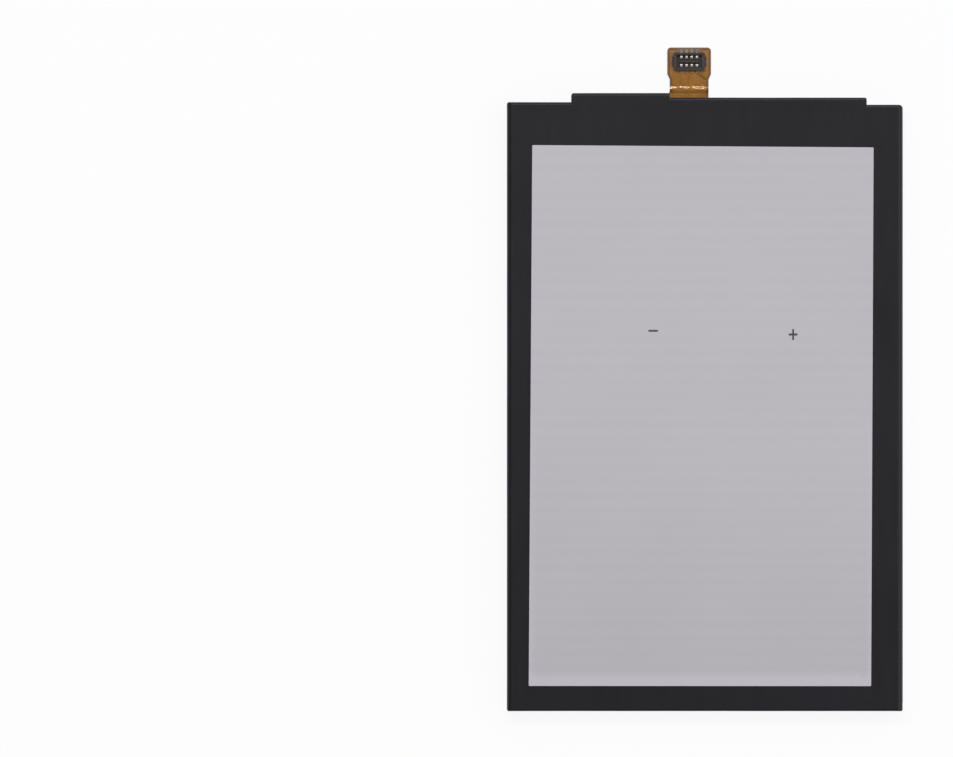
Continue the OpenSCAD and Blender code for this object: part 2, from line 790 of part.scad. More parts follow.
outer_wrap();
front_label();
back_label();
pouch();
electrode_roll();
winding_tape();
foot_tape();
negative_tab();
positive_tab();
tab_seal(tab_xs[0]);  // negative_tab_seal
tab_seal(tab_xs[1]);  // positive_tab_seal
seam_tape();  // right_seam_tape
mirror([1, 0, 0]) seam_tape();  // left_seam_tape
terrace_foam();
protection_board();
weld_plate(tab_xs[0]);  // negative_weld_plate
weld_plate(tab_xs[1]);  // positive_weld_plate
weld_tape(tab_xs[0]);  // negative_weld_tape
weld_tape(tab_xs[1]);  // positive_weld_tape
protection_chip();
transistor(transistor_xs[0]);  // left_transistor
transistor(transistor_xs[1]);  // right_transistor
fuse();
thermistor();
for (k = [1:CAPACITORS]) {
    color("#b08a5e") chip_part(grid_place(capacitor_x, k), [small_l, small_w, 0.5], 0.25);
}
for (k = [1:RESISTORS]) {
    color("#26262a") chip_part(grid_place(resistor_x, k), [small_l, small_w, 0.35], 0.2);
}
flex_tail();
head_stiffener();
connector_housing();
left_hold_down();
right_hold_down();
for (k = [1:CONTACTS]) {
    contact(k - 1);
}
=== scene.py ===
import math

import bmesh
import bpy
from mathutils import Matrix, Vector, noise


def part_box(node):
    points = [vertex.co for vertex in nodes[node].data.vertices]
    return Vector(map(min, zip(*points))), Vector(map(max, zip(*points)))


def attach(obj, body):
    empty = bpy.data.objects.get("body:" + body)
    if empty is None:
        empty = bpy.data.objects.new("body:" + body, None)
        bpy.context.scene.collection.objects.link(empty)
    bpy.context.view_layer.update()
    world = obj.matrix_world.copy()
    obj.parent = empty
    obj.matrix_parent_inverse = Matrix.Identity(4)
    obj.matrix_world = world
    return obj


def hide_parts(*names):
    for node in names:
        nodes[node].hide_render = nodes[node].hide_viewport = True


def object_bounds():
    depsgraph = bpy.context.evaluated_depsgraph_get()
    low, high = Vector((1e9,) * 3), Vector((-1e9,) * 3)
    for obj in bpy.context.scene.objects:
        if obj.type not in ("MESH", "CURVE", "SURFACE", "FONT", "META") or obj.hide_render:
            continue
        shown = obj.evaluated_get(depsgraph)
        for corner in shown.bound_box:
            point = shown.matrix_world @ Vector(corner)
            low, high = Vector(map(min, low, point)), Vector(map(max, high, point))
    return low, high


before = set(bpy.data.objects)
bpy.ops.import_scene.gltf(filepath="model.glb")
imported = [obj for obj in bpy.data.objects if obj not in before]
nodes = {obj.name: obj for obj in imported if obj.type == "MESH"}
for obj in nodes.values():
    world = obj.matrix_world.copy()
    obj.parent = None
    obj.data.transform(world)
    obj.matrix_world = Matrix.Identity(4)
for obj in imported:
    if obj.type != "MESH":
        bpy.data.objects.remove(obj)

cad_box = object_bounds()
MM = 0.001
scene = bpy.context.scene
scene.view_settings.view_transform = "Standard"

# The studio. The battery lies on its back on a white table under broad soft lamps, and a
# long lens looks straight down on it. The photograph's frame is wider than the pack, which
# sits in the right-hand half of it.
PHOTO_W, PHOTO_H = 953, 757
PACK_W = cad_box[1][0] - cad_box[0][0]
PACK_PX = 396.4
PACK_MIDDLE_X_PX = 704.95
PACK_FOOT_PX = 711.42
px = PACK_W / PACK_PX
front_z = cad_box[1][2]
view_x = (PHOTO_W / 2 - PACK_MIDDLE_X_PX) * px
view_y = cad_box[0][1] + (PACK_FOOT_PX - PHOTO_H / 2) * px

lens = bpy.data.cameras.new("camera")
lens.lens = 400
lens.sensor_width = 36
lens.clip_end = 20
camera = bpy.data.objects.new("camera", lens)
scene.collection.objects.link(camera)
view_distance = PHOTO_W * px * lens.lens / lens.sensor_width
camera.location = (view_x, view_y, front_z + view_distance)
scene.camera = camera


def add_lamp(name, place, size, watts):
    lamp = bpy.data.lights.new(name, "AREA")
    lamp.shape = "RECTANGLE"
    lamp.size, lamp.size_y = size
    lamp.energy = watts
    lamp_object = bpy.data.objects.new(name, lamp)
    lamp_object.location = place
    lamp_object.rotation_euler = (-Vector(place)).to_track_quat("-Z", "Y").to_euler()
    scene.collection.objects.link(lamp_object)


# The key is a strip past the tail's end, which draws the bright line along the neck's crest
add_lamp("key_lamp", (-0.16, 0.74, 1.6), (1.44, 0.22), 14.0)
add_lamp("fill_lamp", (0.8, 0.1, 0.95), (0.6, 0.9), 2.0)

# White walls round the table, darker on the left, and a dim ceiling over the lens. Each span
# is where it starts and ends along its axis of the world, and its levels there.
UPWARD_SPAN = (0.6, 0.95, 0.95, 0.34)
SIDEWAYS_SPAN = (-1, 1, 0.3, 0.9)
world = bpy.data.worlds.new("room")
scene.world = world
world.use_nodes = True
w_nodes, w_links = world.node_tree.nodes, world.node_tree.links
heading = w_nodes.new("ShaderNodeTexCoord")
axes = w_nodes.new("ShaderNodeSeparateXYZ")
w_links.new(heading.outputs["Generated"], axes.inputs[0])
levels = []
for axis, span in (("Z", UPWARD_SPAN), ("X", SIDEWAYS_SPAN)):
    level = w_nodes.new("ShaderNodeMapRange")
    for socket, value in zip(("From Min", "From Max", "To Min", "To Max"), span):
        level.inputs[socket].default_value = value
    w_links.new(axes.outputs[axis], level.inputs["Value"])
    levels.append(level)
strength = w_nodes.new("ShaderNodeMath")
strength.operation = "MULTIPLY"
w_links.new(levels[0].outputs[0], strength.inputs[0])
w_links.new(levels[1].outputs[0], strength.inputs[1])
w_links.new(strength.outputs[0], w_nodes["Background"].inputs["Strength"])
w_nodes["Background"].inputs["Color"].default_value = (1, 1, 1, 1)


def new_material(name):
    """A material, its nodes, its links and its surface shader."""
    material = bpy.data.materials.new(name)
    material.use_nodes = True
    tree = material.node_tree
    return material, tree.nodes, tree.links, tree.nodes["Principled BSDF"]


def rgb(red, green, blue):
    """Linear colour of a display colour given in 0 to 255."""
    linear = []
    for level in (red, green, blue):
        share = level / 255
        linear.append(share / 12.92 if share <= 0.04045 else ((share + 0.055) / 1.055) ** 2.4)
    return (*linear, 1.0)


# The table is matt white board, which takes the soft shadow under the pack's edges. Seen
# through the lens or in a reflection it is nine tenths plain white.
TABLE_HALF = 1.5
TABLE_Z = -0.01 * MM
PLAIN_WHITE = 0.9
table_mesh = bpy.data.meshes.new("table")
table_mesh.from_pydata(
    [(x * TABLE_HALF, y * TABLE_HALF, TABLE_Z) for x, y in ((-1, -1), (1, -1), (1, 1), (-1, 1))],
    [], [(0, 1, 2, 3)])
table = bpy.data.objects.new("table", table_mesh)
scene.collection.objects.link(table)
table_material, t_nodes, t_links, t_shader = new_material("white_table")
t_shader.inputs["Base Color"].default_value = rgb(250, 250, 250)
t_shader.inputs["Roughness"].default_value = 0.9
t_shader.inputs["Specular IOR Level"].default_value = 0.1
rays = t_nodes.new("ShaderNodeLightPath")
seen = t_nodes.new("ShaderNodeMath")
seen.operation = "MAXIMUM"
seen_or_passed = t_nodes.new("ShaderNodeMath")
seen_or_passed.operation = "MAXIMUM"
part_white = t_nodes.new("ShaderNodeMath")
part_white.operation = "MULTIPLY"
part_white.inputs[1].default_value = PLAIN_WHITE
glow = t_nodes.new("ShaderNodeEmission")
glow.inputs["Color"].default_value = (1, 1, 1, 1)
glow.inputs["Strength"].default_value = 1
blend = t_nodes.new("ShaderNodeMixShader")
t_links.new(rays.outputs["Is Camera Ray"], seen.inputs[0])
t_links.new(rays.outputs["Is Glossy Ray"], seen.inputs[1])
t_links.new(seen.outputs[0], seen_or_passed.inputs[0])
t_links.new(rays.outputs["Is Transmission Ray"], seen_or_passed.inputs[1])
t_links.new(seen_or_passed.outputs[0], part_white.inputs[0])
t_links.new(part_white.outputs[0], blend.inputs["Fac"])
t_links.new(t_shader.outputs[0], blend.inputs[1])
t_links.new(glow.outputs[0], blend.inputs[2])
t_links.new(blend.outputs[0], t_nodes["Material Output"].inputs["Surface"])
table_mesh.materials.append(table_material)


# The outer wrap is a thin black polyester film, cut to shape, drawn round the cell and its
# board and glued. Its surface is satin, and drawn tight over what lies under it, so it has
# long shallow ripples and soft edges.
WELD = 0.004 * MM      # corners of the solids' meshes that lie this close are one


def cut_at(shape, axis, spot):
    """Cuts a whole mesh with the plane across an axis at a spot."""
    at, across = Vector((0, 0, 0)), Vector((0, 0, 0))
    at[axis], across[axis] = spot, 1
    everything = shape.verts[:] + shape.edges[:] + shape.faces[:]
    bmesh.ops.bisect_plane(shape, geom=everything, plane_co=at, plane_no=across, dist=1e-8)


def cut_copy(node, step_x, step_y):
    """Welded copy of a node's mesh, cut on a grid so that its flat faces can ripple."""
    copy = bmesh.new()
    copy.from_mesh(nodes[node].data)
    bmesh.ops.remove_doubles(copy, verts=copy.verts, dist=WELD)
    bmesh.ops.dissolve_degenerate(copy, edges=copy.edges, dist=WELD)
    low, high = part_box(node)
    for axis, step in ((0, step_x), (1, step_y)):
        cuts = max(1, round((high[axis] - low[axis]) / step))
        for k in range(1, cuts):
            cut_at(copy, axis, low[axis] + (high[axis] - low[axis]) * k / cuts)
    copy.normal_update()
    return copy


def finish_piece(name, shape, material, sharp=30):
    """Object for a finished mesh, smooth but for the edges that turn more than sharp."""
    mesh = bpy.data.meshes.new(name)
    for edge in shape.edges:
        edge.smooth = len(edge.link_faces) == 2 and edge.calc_face_angle(0) < math.radians(sharp)
    for face in shape.faces:
        face.smooth = True
    shape.to_mesh(mesh)
    shape.free()
    mesh.materials.append(material)
    piece = bpy.data.objects.new(name, mesh)
    scene.collection.objects.link(piece)
    weighted = piece.modifiers.new("weighted", "WEIGHTED_NORMAL")
    weighted.keep_sharp = True
    graph = bpy.context.evaluated_depsgraph_get()
    piece.data = bpy.data.meshes.new_from_object(piece.evaluated_get(graph))
    piece.data.name = name
    piece.modifiers.clear()
    return piece


def add_node(tree_nodes, kind, **settings):
    """Shader node with its settings, and its unlinked inputs given as i0, i1 and so on."""
    made = tree_nodes.new(kind)
    for key, value in settings.items():
        if key[0] == "i" and key[1:].isdigit():
            made.inputs[int(key[1:])].default_value = value
        else:
            setattr(made, key, value)
    return made


def object_noise(tree_nodes, links, scale, detail=3.0, stretch=(1, 1, 1)):
    """Noise over the piece, scale cycles a metre, drawn out along the small stretches."""
    where = tree_nodes.new("ShaderNodeTexCoord")
    fitted = tree_nodes.new("ShaderNodeMapping")
    fitted.inputs["Scale"].default_value = stretch
    grain = tree_nodes.new("ShaderNodeTexNoise")
    grain.inputs["Scale"].default_value = scale
    grain.inputs["Detail"].default_value = detail
    links.new(where.outputs["Object"], fitted.inputs["Vector"])
    links.new(fitted.outputs["Vector"], grain.inputs["Vector"])
    return grain.outputs["Fac"]


def add_bump(tree_nodes, links, shader, height, distance, strength=1.0):
    """Bump of a given depth in metres on the shader."""
    bump = tree_nodes.new("ShaderNodeBump")
    bump.inputs["Distance"].default_value = distance
    bump.inputs["Strength"].default_value = strength
    links.new(height, bump.inputs["Height"])
    links.new(bump.outputs["Normal"], shader.inputs["Normal"])


def ramp_of(tree_nodes, links, factor, stops):
    """Colour ramp along a factor."""
    ramp = tree_nodes.new("ShaderNodeValToRGB")
    while len(ramp.color_ramp.elements) < len(stops):
        ramp.color_ramp.elements.new(0.5)
    for element, (place, colour) in zip(ramp.color_ramp.elements, stops):
        element.position = place
        element.color = colour
    links.new(factor, ramp.inputs["Fac"])
    return ramp.outputs["Color"]


WRAP_SETBACK = 0.03 * MM
WRAP_RIPPLE = 0.012 * MM
wrap_low, wrap_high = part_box("outer_wrap")
CORE_INSET = 1.2 * MM
core_low = Vector(wrap_low) + Vector((CORE_INSET, CORE_INSET, CORE_INSET))
core_high = Vector(wrap_high) - Vector((CORE_INSET, 3 * CORE_INSET, CORE_INSET))

wrap_material, nodes_, links_, shader = new_material("black_wrap_film")
cloud = object_noise(nodes_, links_, 60, 4)
links_.new(ramp_of(nodes_, links_, cloud, [(0.3, rgb(15, 14, 21)), (0.7, rgb(21, 19, 27))]),
           shader.inputs["Base Color"])
streaks = object_noise(nodes_, links_, 900, 4, (1, 0.12, 1))
gloss = add_node(nodes_, "ShaderNodeMapRange", i3=0.34, i4=0.46)
links_.new(streaks, gloss.inputs[0])
links_.new(gloss.outputs[0], shader.inputs["Roughness"])
shader.inputs["Specular IOR Level"].default_value = 0.32
fine = object_noise(nodes_, links_, 2600, 3)
add_bump(nodes_, links_, shader, fine, 0.004 * MM)

# Cuts close to the walls and where the rounded edges end keep the shading of each true
shoulder_y = wrap_high[1] - 1.4 * MM
WALLS_X = (wrap_low[0], wrap_low[0] + 9.95 * MM, -5.45 * MM, wrap_high[0] - 5.6 * MM, wrap_high[0])
WALLS_Y = (wrap_low[1], shoulder_y - 0.4 * MM, shoulder_y, wrap_high[1] - 0.7 * MM, wrap_high[1])
film = cut_copy("outer_wrap", 1.5 * MM, 1.5 * MM)
for axis, walls in enumerate((WALLS_X, WALLS_Y)):
    for wall in walls:
        for clear in (0.04, 0.45, 0.95):
            cut_at(film, axis, wall - clear * MM)
            cut_at(film, axis, wall + clear * MM)
film.normal_update()
for vert in film.verts:
    nearest = Vector([min(max(vert.co[k], core_low[k]), core_high[k]) for k in range(3)])
    outward = (vert.co - nearest).normalized()
    if vert.normal.dot(outward) > 0:
        drawn = noise.noise(vert.co * 90) + 0.5 * noise.noise(vert.co * 240)
        vert.co -= outward * (WRAP_SETBACK + WRAP_RIPPLE * drawn)
wrap = finish_piece("wrap_film", film, wrap_material)
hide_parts("outer_wrap")
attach(wrap, "root")


# The wrap is closed along the right flank and across the foot: the film's edges lap over
# each other there, with the corners of the foot folded under like those of a parcel.
FLAP_T = WRAP_SETBACK * 0.9


def flap(shape, outline, depth_axis, face, outward):
    """Thin flap: an outline of (along, up) points set against a flat face of the pack."""
    rings = []
    for inset in (0, FLAP_T):
        ring = []
        for along, up in outline:
            point = Vector((0, 0, up))
            point[1 - depth_axis] = along
            point[depth_axis] = face - outward * inset
            ring.append(shape.verts.new(point))
        rings.append(ring)
    count = len(outline)
    shape.faces.new(rings[0])
    shape.faces.new(rings[1][::-1])
    for k in range(count):
        after = (k + 1) % count
        shape.faces.new((rings[0][k], rings[1][k], rings[1][after], rings[0][after]))


EDGE = 0.95 * MM
FOLD_FOOT = 0.45 * MM
FOLD_LEAN = 2.4 * MM
LAP_END = 2.6 * MM
left_x, foot_y, low_z = wrap_low
right_x, shelf_y, top_z = wrap_high
fold_top = low_z + 0.62 * (top_z - low_z)
lap_top = low_z + 0.7 * (top_z - low_z)
folds = bmesh.new()
foot_fold = [
    (left_x + EDGE, low_z + FOLD_FOOT), (right_x - EDGE, low_z + FOLD_FOOT),
    (right_x - EDGE - FOLD_LEAN, fold_top), (left_x + EDGE + FOLD_LEAN, fold_top)]
flap(folds, foot_fold, 1, foot_y, -1)
flank_lap = [
    (foot_y + EDGE, low_z + EDGE), (shelf_y - LAP_END, low_z + EDGE),
    (shelf_y - LAP_END - 0.3 * MM, lap_top), (foot_y + EDGE + 0.4 * MM, lap_top)]
flap(folds, flank_lap, 0, right_x, 1)
bmesh.ops.recalc_face_normals(folds, faces=folds.faces)
wrap_folds = finish_piece("wrap_folds", folds, wrap_material)
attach(wrap_folds, "root")


# The labels are silver-grey printed polyester with a rubber glue. The print screen leaves
# faint bands across them, and their cut edges stand a little off the film. A painted
# highlight runs along the front label's foot and the lower parts of its sides.
BAND_PITCH = 2.2 * MM
EVEN_TONE = 0.75
MOTTLE = 0.2
# Where the label's tone grows darker towards its foot
DARKER_FROM, DARKER_TO = -5 * MM, -38 * MM
# How much paler the painted highlight on the label's rim is
HIGHLIGHT_PALER = (1.08, 1.07, 1.11)


def mixed(tree_nodes, links, share, base, other):
    """Base colour mixed by a share with another, which is an output or a plain colour."""
    mix = add_node(tree_nodes, "ShaderNodeMix", data_type="RGBA")
    links.new(share, mix.inputs["Factor"])
    links.new(base, mix.inputs["A"])
    if isinstance(other, tuple):
        mix.inputs["B"].default_value = other
    else:
        links.new(other, mix.inputs["B"])
    return mix.outputs["Result"]


def attribute(tree_nodes, name):
    """Value of a mesh attribute."""
    return add_node(tree_nodes, "ShaderNodeAttribute", attribute_name=name).outputs["Fac"]


def label_material(name, colour, band_depth, foot_darkening):
    """Label finish: bands across, darker to the foot, a painted highlight at the rim, a light mottle.
    """
    material, n, l, s = new_material(name)
    where = n.new("ShaderNodeTexCoord")
    axes = n.new("ShaderNodeSeparateXYZ")
    l.new(where.outputs["Object"], axes.inputs[0])
    phase = add_node(n, "ShaderNodeMath", operation="MULTIPLY", i1=2 * math.pi / BAND_PITCH)
    wave = add_node(n, "ShaderNodeMath", operation="SINE")
    l.new(axes.outputs["Y"], phase.inputs[0])
    l.new(phase.outputs[0], wave.inputs[0])
    mottle = object_noise(n, l, 55, 3)
    grain = object_noise(n, l, 1500, 2, (1, 0.25, 1))
    mottled = add_node(n, "ShaderNodeMapRange", i3=EVEN_TONE - MOTTLE, i4=EVEN_TONE + MOTTLE)
    l.new(mottle, mottled.inputs[0])
    banded = add_node(n, "ShaderNodeMath", operation="MULTIPLY_ADD", i1=band_depth)
    l.new(wave.outputs[0], banded.inputs[0])
    l.new(mottled.outputs[0], banded.inputs[2])
    # The tone is darker towards the foot of the label
    footward_tone = add_node(n, "ShaderNodeMapRange", i1=DARKER_TO, i2=DARKER_FROM, i3=-foot_darkening, i4=0.0)
    l.new(axes.outputs["Y"], footward_tone.inputs[0])
    tone = add_node(n, "ShaderNodeMath", operation="ADD")
    l.new(banded.outputs[0], tone.inputs[0])
    l.new(footward_tone.outputs[0], tone.inputs[1])
    darkest = tuple(c * 0.88 for c in colour[:3]) + (1,)
    palest = tuple(c * 1.04 for c in colour[:3]) + (1,)
    base = ramp_of(n, l, tone.outputs[0], [(0.0, darkest), (1.0, palest)])
    # Painted highlight: where the rim attribute is set, the label is painted paler
    highlight_tone = tuple(c * more for c, more in zip(colour, HIGHLIGHT_PALER)) + (1,)
    l.new(mixed(n, l, attribute(n, "rim_and_painted_light"), base, highlight_tone), s.inputs["Base Color"])
    s.inputs["Metallic"].default_value = 0.12
    rough = add_node(n, "ShaderNodeMapRange", i3=0.42, i4=0.56)
    l.new(grain, rough.inputs[0])
    l.new(rough.outputs[0], s.inputs["Roughness"])
    s.inputs["Specular IOR Level"].default_value = 0.3
    add_bump(n, l, s, grain, 0.003 * MM)
    return material


LABEL_LIFT = 0.006 * MM
# Widths of the painted highlight along the front label's foot and the lower parts of its sides
FOOT_HIGHLIGHT_W = 1.25 * MM
SIDE_HIGHLIGHT_W = 0.75 * MM
# The front label is cut a little out of square: how far its corners lie off, in millimetres
SQUARE = {}
FRONT_CORNERS = {
    (-1, -1): (-0.03, -0.1), (1, -1): (-0.04, 0.11),
    (-1, 1): (0.14, 0.03), (1, 1): (-0.035, -0.085)}


def make_label(node, material, outer, turned, corners, painted_highlight_rim):
    """Label with ripples, set back from its outer face, and a painted highlight attribute near its
    edge.
    """
    low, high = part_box(node)
    middle = Vector(((low[0] + high[0]) / 2, (low[1] + high[1]) / 2, 0))
    upright = Matrix.Rotation(-turned, 3, "Z")
    # Half size of the label before it was turned
    full = Vector((high[0] - low[0], high[1] - low[1], 0)) / 2
    half_x = full.x - abs(math.sin(turned)) * full.y
    half_y = full.y - abs(math.sin(turned)) * full.x
    shape = cut_copy(node, 1.2 * MM, 1.2 * MM)
    rim_and_painted_light = shape.verts.layers.float.new("rim_and_painted_light")
    face_z = high[2] if outer > 0 else low[2]
    for vert in shape.verts:
        flat = upright @ (vert.co - middle)
        to_side = half_x - abs(flat.x)
        to_foot = flat.y + half_y
        # Share of painted highlight along the foot and the lower parts of the sides
        edge = 0.0
        if painted_highlight_rim and to_foot < FOOT_HIGHLIGHT_W:
            edge = 0.8
        if painted_highlight_rim and to_side < SIDE_HIGHLIGHT_W and flat.y < 0:
            edge = max(edge, 0.45)
        vert[rim_and_painted_light] = edge
        if abs(vert.co.z - face_z) < 0.01 * MM:
            ripple = noise.noise(vert.co * 120) * 0.5
            vert.co.z = face_z - outer * LABEL_LIFT * (1.6 + ripple)
        for (side, end), (off_x, off_y) in corners.items():
            share = (1 + side * flat.x / half_x) / 2 * (1 + end * flat.y / half_y) / 2
            vert.co.x += share * off_x * MM
            vert.co.y += share * off_y * MM
    label = finish_piece(node + "_film", shape, material)
    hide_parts(node)
    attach(label, "root")


LABEL_GREY = rgb(195, 192, 199)
FRONT_TURN = math.radians(-0.26)
front_print = label_material("front_label_print", LABEL_GREY, 0.05, 0.4)
back_print = label_material("back_label_print", LABEL_GREY, 0.05, 0)
make_label("front_label", front_print, 1, FRONT_TURN, FRONT_CORNERS, True)
make_label("back_label", back_print, -1, 0, SQUARE, False)


# The polarity marks are printed on the front label in dark ink, one over each tab of the
# cell: a minus sign on the left and a plus sign on the right.
MINUS_AT = (-7.97 * MM, 11.67 * MM)
PLUS_AT = (13.57 * MM, 11.1 * MM)
INK_T = 0.004 * MM
ink_material, nodes_, links_, shader = new_material("printed_ink")
ink_tone = object_noise(nodes_, links_, 4000, 2)
links_.new(ramp_of(nodes_, links_, ink_tone, [(0.35, rgb(72, 70, 75)), (0.7, rgb(86, 84, 89))]),
           shader.inputs["Base Color"])
shader.inputs["Roughness"].default_value = 0.5
shader.inputs["Specular IOR Level"].default_value = 0.25


def ink_outline(shape, outline, middle):
    """Printed figure: an outline about its own middle, a layer of ink thick."""
    rings = []
    for z in (front_z - 2 * INK_T, front_z - INK_T / 4):
        rings.append([shape.verts.new((middle[0] + x, middle[1] + y, z)) for x, y in outline])
    count = len(outline)
    shape.faces.new(rings[1])
    shape.faces.new(rings[0][::-1])
    for k in range(count):
        after = (k + 1) % count
        shape.faces.new((rings[0][k], rings[0][after], rings[1][after], rings[1][k]))


def bar(width, height):
    """Outline of an upright bar about its middle."""
    x, y = width / 2, height / 2
    return [(-x, -y), (x, -y), (x, y), (-x, y)]


def cross(width, height, upright, level):
    """Outline of a plus sign about its middle, from its two strokes' widths."""
    x, y, u, v = width / 2, height / 2, upright / 2, level / 2
    right_side = [(u, -y), (u, -v), (x, -v), (x, v), (u, v), (u, y)]
    return right_side + [(-along, -up) for along, up in right_side]


marks = bmesh.new()
ink_outline(marks, bar(1.45 * MM, 0.3 * MM), MINUS_AT)
ink_outline(marks, cross(1.33 * MM, 1.68 * MM, 0.27 * MM, 0.33 * MM), PLUS_AT)
bmesh.ops.recalc_face_normals(marks, faces=marks.faces)
polarity_marks = finish_piece("polarity_marks", marks, ink_material)
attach(polarity_marks, "root")


# The tail is a flexible circuit: copper traces between two amber films, which are bare at
# the rim and round the pads. Its arm lies in a window on the pack's back, the neck rises past
# the shelf in a crinkled bend, and the stiffened head carries the connector.
tail_low, tail_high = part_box("flex_tail")
plug_low, plug_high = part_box("connector_housing")
stiffener_low, stiffener_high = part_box("head_stiffener")
TAIL_X = (plug_low[0] + plug_high[0]) / 2
NECK_HALF = 3.0 * MM
HEAD_HALF = (stiffener_high[0] - stiffener_low[0]) / 2
HEAD_FOOT_Y = stiffener_low[1]
HEAD_TAPER = 0.85 * MM
CREST_Y = shelf_y + 0.89 * MM
RIM_W = 0.45 * MM
CRINKLE = 0.11 * MM
CREST_SHIFT = 0.15 * MM
CREASE_W = 0.17 * MM
CREASE_DEPTH = 0.025 * MM
# Strength of the painted shade along the crease
CREASE_PAINTED_SHADE = 0.36
TRACE_PITCH = 1.2 * MM
OPENING_HALF = 2.0 * MM
OPENING_BARE = 0.8
CREASE_FROM = Vector((-1.54 * MM, 51.77 * MM, 0))
CREASE_TO = Vector((0.15 * MM, 50.42 * MM, 0))


def bell(distance, reach):
    """Share that falls off smoothly with distance."""
    return math.exp(-(distance / reach) ** 2)


def distance_to_crease(point):
    """Distance in plan to the crease across the foot of the head."""
    run = CREASE_TO - CREASE_FROM
    share = max(0, min(1, (point - CREASE_FROM).dot(run) / run.dot(run)))
    return (point - CREASE_FROM - share * run).length


def rim_share(point):
    """How far out over the bare rim a point of the tail lies in plan, 1 at the cut edge."""
    from_middle = abs(point.x - TAIL_X)
    if point.y > HEAD_FOOT_Y:
        inside = min(HEAD_HALF - from_middle, tail_high[1] - point.y)
    elif point.y > shelf_y + 0.3 * MM:
        widening = max(0, point.y - (HEAD_FOOT_Y - HEAD_TAPER)) / HEAD_TAPER
        inside = NECK_HALF + widening * (HEAD_HALF - NECK_HALF) - from_middle
    else:
        inside = min(point.y - tail_low[1], point.x - tail_low[0], NECK_HALF + TAIL_X - point.x)
        if point.x < TAIL_X - NECK_HALF:
            inside = min(inside, shelf_y - point.y)
    return max(0, min(1, 1 - inside / RIM_W))


# Copper-brown of the trace gaps and the bare rim, which is also the colour of the painted shade along
# the crease
COPPER_AND_CREASE_SHADE = rgb(98, 68, 36)
amber, nodes_, links_, shader = new_material("amber_flex")
shade = object_noise(nodes_, links_, 900, 3)
neck_tint = ramp_of(nodes_, links_, shade, [(0.3, rgb(158, 104, 30)), (0.7, rgb(176, 120, 44))])
head_tint = ramp_of(nodes_, links_, shade, [(0.3, rgb(160, 107, 48)), (0.7, rgb(180, 125, 66))])
tail_place = nodes_.new("ShaderNodeTexCoord")
tail_axes = nodes_.new("ShaderNodeSeparateXYZ")
links_.new(tail_place.outputs["Object"], tail_axes.inputs[0])
on_head = add_node(
    nodes_, "ShaderNodeMapRange", i1=HEAD_FOOT_Y - HEAD_TAPER, i2=HEAD_FOOT_Y + HEAD_TAPER)
links_.new(tail_axes.outputs["Y"], on_head.inputs[0])
film_tint = mixed(nodes_, links_, on_head.outputs[0], neck_tint, head_tint)
# Painted light: the slope from the shelf up to the crest faces the pack's wall and lies in its shade,
# so it is painted a paler amber
film_tint = mixed(nodes_, links_, attribute(nodes_, "bend"), film_tint, rgb(206, 148, 72))
traces = add_node(
    nodes_, "ShaderNodeMath", operation="MULTIPLY_ADD", i1=1 / TRACE_PITCH, i2=-TAIL_X / TRACE_PITCH)
links_.new(tail_axes.outputs["X"], traces.inputs[0])
from_trace = add_node(nodes_, "ShaderNodeMath", operation="FRACT")
links_.new(traces.outputs[0], from_trace.inputs[0])
trace_gap = add_node(nodes_, "ShaderNodeMapRange", i1=0.84, i2=0.92, i3=0.0, i4=0.14)
links_.new(from_trace.outputs[0], trace_gap.inputs[0])
film_tint = mixed(nodes_, links_, trace_gap.outputs[0], film_tint, COPPER_AND_CREASE_SHADE)
# The rim attribute holds the bare rim and pads and the painted shade along the crease; all take the
# copper-brown to grey ramp
rim_and_shade_share = attribute(nodes_, "rim_and_painted_light")
rim_and_shade_colour = ramp_of(nodes_, links_, rim_and_shade_share, [(0.35, COPPER_AND_CREASE_SHADE), (0.75, rgb(136, 114, 92))])
rim_and_shade_mix = add_node(nodes_, "ShaderNodeMapRange", i1=0.0, i2=0.4, i3=0.0, i4=0.9)
links_.new(rim_and_shade_share, rim_and_shade_mix.inputs[0])
links_.new(mixed(nodes_, links_, rim_and_shade_mix.outputs[0], film_tint, rim_and_shade_colour), shader.inputs["Base Color"])
shader.inputs["Metallic"].default_value = 0.2
shader.inputs["Roughness"].default_value = 0.3
shader.inputs["Specular IOR Level"].default_value = 0.3
shader.inputs["Coat Weight"].default_value = 1.0
shader.inputs["Coat Roughness"].default_value = 0.12
film_grain = object_noise(nodes_, links_, 5000, 2)
add_bump(nodes_, links_, shader, film_grain, 0.004 * MM)

tail = cut_copy("flex_tail", 0.15 * MM, 0.12 * MM)
rim_and_painted_light = tail.verts.layers.float.new("rim_and_painted_light")
bend = tail.verts.layers.float.new("bend")
for vert in tail.verts:
    place = Vector((vert.co.x, vert.co.y, 0))
    crease = bell(distance_to_crease(place), CREASE_W)
    vert[rim_and_painted_light] = rim_share(place)
    # Painted shade: a dark line along the crease across the head's foot
    if place.y > CREASE_TO.y:
        vert[rim_and_painted_light] = max(vert[rim_and_painted_light], CREASE_PAINTED_SHADE * crease)
    if place.y > plug_high[1] and abs(place.x - TAIL_X) < OPENING_HALF:
        vert[rim_and_painted_light] = max(vert[rim_and_painted_light], OPENING_BARE)
    from_crest = vert.co.y - CREST_Y
    # Painted light on the slope just short of the crest
    vert[bend] = 0.8 * bell(from_crest + 0.3 * MM, 0.4 * MM)
    if vert.co.y > shelf_y + 0.2 * MM:
        crinkle = noise.noise(Vector((vert.co.x * 1500, vert.co.y * 1600, 3)))
        vert.co.z += CRINKLE * bell(from_crest, 0.45 * MM) * crinkle
        vert.co.z -= CREASE_DEPTH * crease
    vert.co.y -= CREST_SHIFT * bell(from_crest, 0.35 * MM if from_crest > 0 else 0.6 * MM)
flex = finish_piece("flex_tail_film", tail, amber, 50)
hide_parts("flex_tail")
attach(flex, "root")


